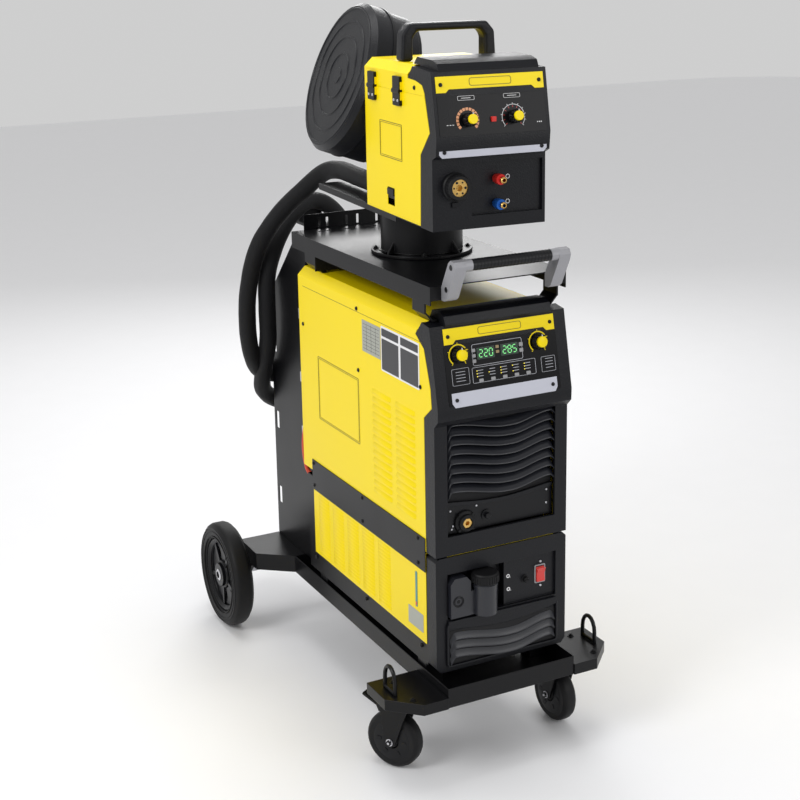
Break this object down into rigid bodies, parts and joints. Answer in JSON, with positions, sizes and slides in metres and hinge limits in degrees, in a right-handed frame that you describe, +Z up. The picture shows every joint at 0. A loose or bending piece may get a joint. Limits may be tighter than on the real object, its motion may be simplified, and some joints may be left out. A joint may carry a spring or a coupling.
{
  "type": "mig welder on cart",
  "caption": "Yellow and black MIG welding set: power source over a water cooler on a wheeled cart, with a swivelling wire feeder, spool drum, hose pack and gas cylinder cradle.",
  "frame": {"origin": "on the floor under the middle of the whole set", "axes": "+Z up; the control panels face -Y; +X is to the right of someone facing the panels"},
  "size_m": [0.602, 1.122, 1.6046],
  "materials": {
    "yellow": "satin yellow paint on folded sheet",
    "frame": "black powder coat",
    "front": "charcoal moulded plastic",
    "rubber": "black rubber",
    "tyre": "solid black tyre",
    "cast": "sand-cast aluminium",
    "brass": "machined brass in a black collar",
    "zinc": "zinc-plated steel",
    "wire": "copper-coated steel wire on a black spool",
    "red": "red plastic",
    "blue": "blue anodised collar",
    "hose": "black textile sleeve over hoses and cable",
    "red_hose": "red rubber hose",
    "pump": "painted pump and motor"
  },
  "bodies": {
    "cart": {"base_tray": "frame", "deck_wing_left": "frame", "deck_wing_right": "frame", "rear_deck": "frame", "rear_axle": "zinc", "gas_cradle": "frame", "shelf": "frame", "swivel_pedestal": "frame", "handle_arm_left": "cast", "handle_arm_right": "cast", "push_grip": "rubber", "lifting_eye_left": "frame", "lifting_eye_right": "frame", "strap_plate_left": "frame", "strap_plate_right": "frame", "source_cover": "yellow", "source_chassis": "frame", "source_bezel": "front", "source_grille": "front", "output_socket": "brass", "source_inverter": "cast", "cooler_cover": "yellow", "cooler_chassis": "frame", "cooler_bezel": "front", "coolant_tank": "front", "cooler_pump": "pump", "hose_pack": "hose", "coolant_hose": "red_hose"},
    "caster_left": {"caster_fork_left": "frame"},
    "caster_wheel_left": {"caster_wheel_left": "rubber"},
    "caster_brake_left": {"caster_brake_left": "frame"},
    "rear_wheel_left": {"rear_tyre_left": "tyre", "rear_rim_left": "front"},
    "source_knob_left": {"source_knob_left": "front"},
    "caster_right": {"caster_fork_right": "frame"},
    "caster_wheel_right": {"caster_wheel_right": "rubber"},
    "caster_brake_right": {"caster_brake_right": "frame"},
    "rear_wheel_right": {"rear_tyre_right": "tyre", "rear_rim_right": "front"},
    "source_knob_right": {"source_knob_right": "front"},
    "source_fan": {"source_fan": "front"},
    "rocker_switch": {"rocker_switch": "red"},
    "filler_cap": {"filler_cap": "front"},
    "feeder": {"feeder_plate": "frame", "feeder_case": "yellow", "feeder_bezel": "front", "feeder_handle": "front", "torch_socket": "brass", "coupler_red": "red", "coupler_blue": "blue", "spool_housing": "front"},
    "feeder_door": {"feeder_door": "yellow"},
    "door_latch": {"door_latch": "front"},
    "feeder_knob_left": {"feeder_knob_left": "front"},
    "feeder_knob_right": {"feeder_knob_right": "front"},
    "inch_button": {"inch_button": "red"},
    "drive_roller": {"drive_roller": "zinc"},
    "pressure_roller": {"pressure_roller": "zinc"},
    "spool_lid": {"spool_lid": "front"},
    "wire_spool": {"wire_spool": "wire"}
  },
  "joints": [
    {"name": "caster_left_swivel", "type": "hinge", "parent": "cart", "child": "caster_left", "pos_m": [-0.2, -0.4445, 0.16], "axis": [0, 0, 1], "continuous": true},
    {"name": "caster_left_roll", "type": "hinge", "parent": "caster_left", "child": "caster_wheel_left", "pos_m": [-0.21416, -0.42269, 0.064], "axis": [0.8387, 0.5446, 0], "continuous": true},
    {"name": "caster_left_brake", "type": "hinge", "parent": "caster_left", "child": "caster_brake_left", "pos_m": [-0.22287, -0.40928, 0.15], "axis": [0.8387, 0.5446, 0], "range_deg": [-8, 0]},
    {"name": "rear_left_roll", "type": "hinge", "parent": "cart", "child": "rear_wheel_left", "pos_m": [-0.276, 0.425, 0.136], "axis": [1, 0, 0], "continuous": true},
    {"name": "caster_right_swivel", "type": "hinge", "parent": "cart", "child": "caster_right", "pos_m": [0.2, -0.4445, 0.16], "axis": [0, 0, 1], "continuous": true},
    {"name": "caster_right_roll", "type": "hinge", "parent": "caster_right", "child": "caster_wheel_right", "pos_m": [0.19864, -0.41854, 0.064], "axis": [0.9986, 0.0523, 0], "continuous": true},
    {"name": "caster_right_brake", "type": "hinge", "parent": "caster_right", "child": "caster_brake_right", "pos_m": [0.1978, -0.40256, 0.15], "axis": [0.9986, 0.0523, 0], "range_deg": [-8, 0]},
    {"name": "rear_right_roll", "type": "hinge", "parent": "cart", "child": "rear_wheel_right", "pos_m": [0.276, 0.425, 0.136], "axis": [1, 0, 0], "continuous": true},
    {"name": "source_left_turn", "type": "hinge", "parent": "cart", "child": "source_knob_left", "pos_m": [-0.101, -0.5112, 0.929], "axis": [0, -0.9806, 0.1961], "range_deg": [-140, 140]},
    {"name": "source_right_turn", "type": "hinge", "parent": "cart", "child": "source_knob_right", "pos_m": [0.088, -0.5108, 0.931], "axis": [0, -0.9806, 0.1961], "range_deg": [-140, 140]},
    {"name": "source_fan_spin", "type": "hinge", "parent": "cart", "child": "source_fan", "pos_m": [0, 0.13, 0.88], "axis": [0, 1, 0], "continuous": true},
    {"name": "power_rock", "type": "hinge", "parent": "cart", "child": "rocker_switch", "pos_m": [0.098, -0.5085, 0.4125], "axis": [1, 0, 0], "range_deg": [-5, 0]},
    {"name": "filler_cap_turn", "type": "hinge", "parent": "cart", "child": "filler_cap", "pos_m": [-0.0485, -0.526, 0.433], "axis": [0, 0, 1], "range_deg": [0, 120]},
    {"name": "feeder_swivel", "type": "hinge", "parent": "cart", "child": "feeder", "pos_m": [0, -0.1714, 1.1], "axis": [0, 0, 1], "range_deg": [-60, 60], "deforming": ["hose_pack"]},
    {"name": "feeder_door_swing", "type": "hinge", "parent": "feeder", "child": "feeder_door", "pos_m": [-0.1261, -0.16133, 1.4455], "axis": [0.0796, 0.9968, 0], "range_deg": [0, 105]},
    {"name": "door_latch_slide", "type": "slide", "parent": "feeder_door", "child": "door_latch", "axis": [0, 0, -1], "range_m": [0, 0.018]},
    {"name": "feeder_left_turn", "type": "hinge", "parent": "feeder", "child": "feeder_knob_left", "pos_m": [-0.08294, -0.52406, 1.4], "axis": [-0.0781, -0.9784, 0.1915], "range_deg": [-140, 140]},
    {"name": "feeder_right_turn", "type": "hinge", "parent": "feeder", "child": "feeder_knob_right", "pos_m": [0.01536, -0.53172, 1.401], "axis": [-0.0781, -0.9784, 0.1915], "range_deg": [-140, 140]},
    {"name": "inch_button_press", "type": "slide", "parent": "feeder", "child": "inch_button", "axis": [0.0796, 0.9968, 0], "range_m": [0, 0.003], "stiffness_N_per_m": 300},
    {"name": "drive_roller_spin", "type": "hinge", "parent": "feeder", "child": "drive_roller", "pos_m": [0.00421, -0.34228, 1.31], "axis": [-0.9968, 0.0796, 0], "continuous": true},
    {"name": "pressure_roller_spin", "type": "hinge", "parent": "feeder", "child": "pressure_roller", "pos_m": [0.00421, -0.34228, 1.3412], "axis": [-0.9968, 0.0796, 0], "continuous": true},
    {"name": "spool_lid_swing", "type": "hinge", "parent": "feeder", "child": "spool_lid", "pos_m": [-0.11719, 0.01653, 1.27147], "axis": [-0.0796, -0.9968, 0], "range_deg": [0, 100]},
    {"name": "wire_spool_spin", "type": "hinge", "parent": "feeder", "child": "wire_spool", "pos_m": [-0.05174, 0.0113, 1.42848], "axis": [-0.9367, 0.0748, 0.342], "continuous": true}
  ],
  "couplings": [
    {"joint": "pressure_roller_spin", "follows": "drive_roller_spin", "ratio": -1}
  ]
}
